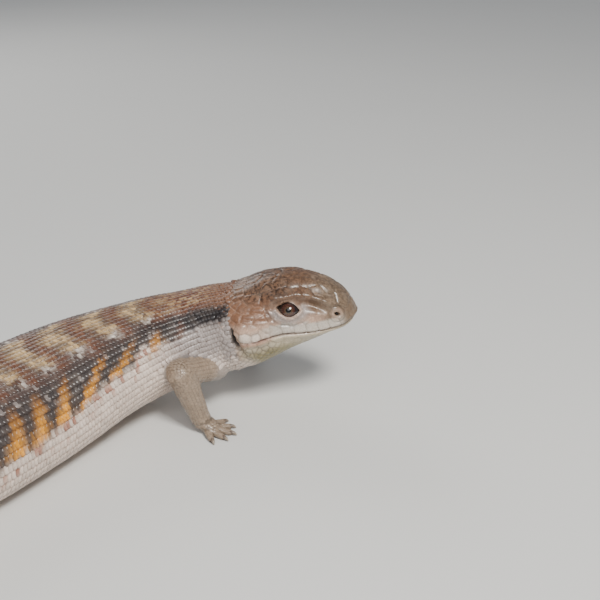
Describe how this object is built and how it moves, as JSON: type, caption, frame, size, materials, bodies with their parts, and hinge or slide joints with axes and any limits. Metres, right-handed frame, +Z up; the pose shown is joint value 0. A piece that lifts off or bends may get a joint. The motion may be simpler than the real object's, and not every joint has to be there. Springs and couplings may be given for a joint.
{
  "type": "blue-tongued skink model",
  "caption": "Life-size model of a blue-tongued skink at rest, belly and tail on the ground, head raised and turned to its right.",
  "frame": {"origin": "on the ground, under the middle of the belly", "axes": "+X forwards along the trunk, +Y to the animal's left, +Z up"},
  "size_m": [0.4466, 0.1492, 0.0633],
  "materials": {
    "crown": "smooth glossy head shields, warm tan-brown with fine dark flecks",
    "jaw": "smooth pale cream lip and chin shields",
    "back": "overlapping glossy scales, grey-brown with reddish-brown, cream and amber bars",
    "tail": "overlapping glossy scales, dark brown and cream bands",
    "limb": "small glossy tan-grey scales with paler edges, pale claws",
    "eye": "wet, clear, red-brown iris with a dark pupil"
  },
  "bodies": {
    "root": {"head": "crown", "jaw": "jaw", "left_eye": "eye", "right_eye": "eye", "neck": "back", "chest": "back", "trunk": "back", "loin": "back", "tail_root": "tail", "tail_middle": "tail", "tail_tip": "tail", "right_upper_arm": "limb", "right_forearm": "limb", "right_hand": "limb", "right_thigh": "limb", "right_shank": "limb", "right_foot": "limb", "left_upper_arm": "limb", "left_forearm": "limb", "left_hand": "limb", "left_thigh": "limb", "left_shank": "limb", "left_foot": "limb"}
  },
  "joints": []
}
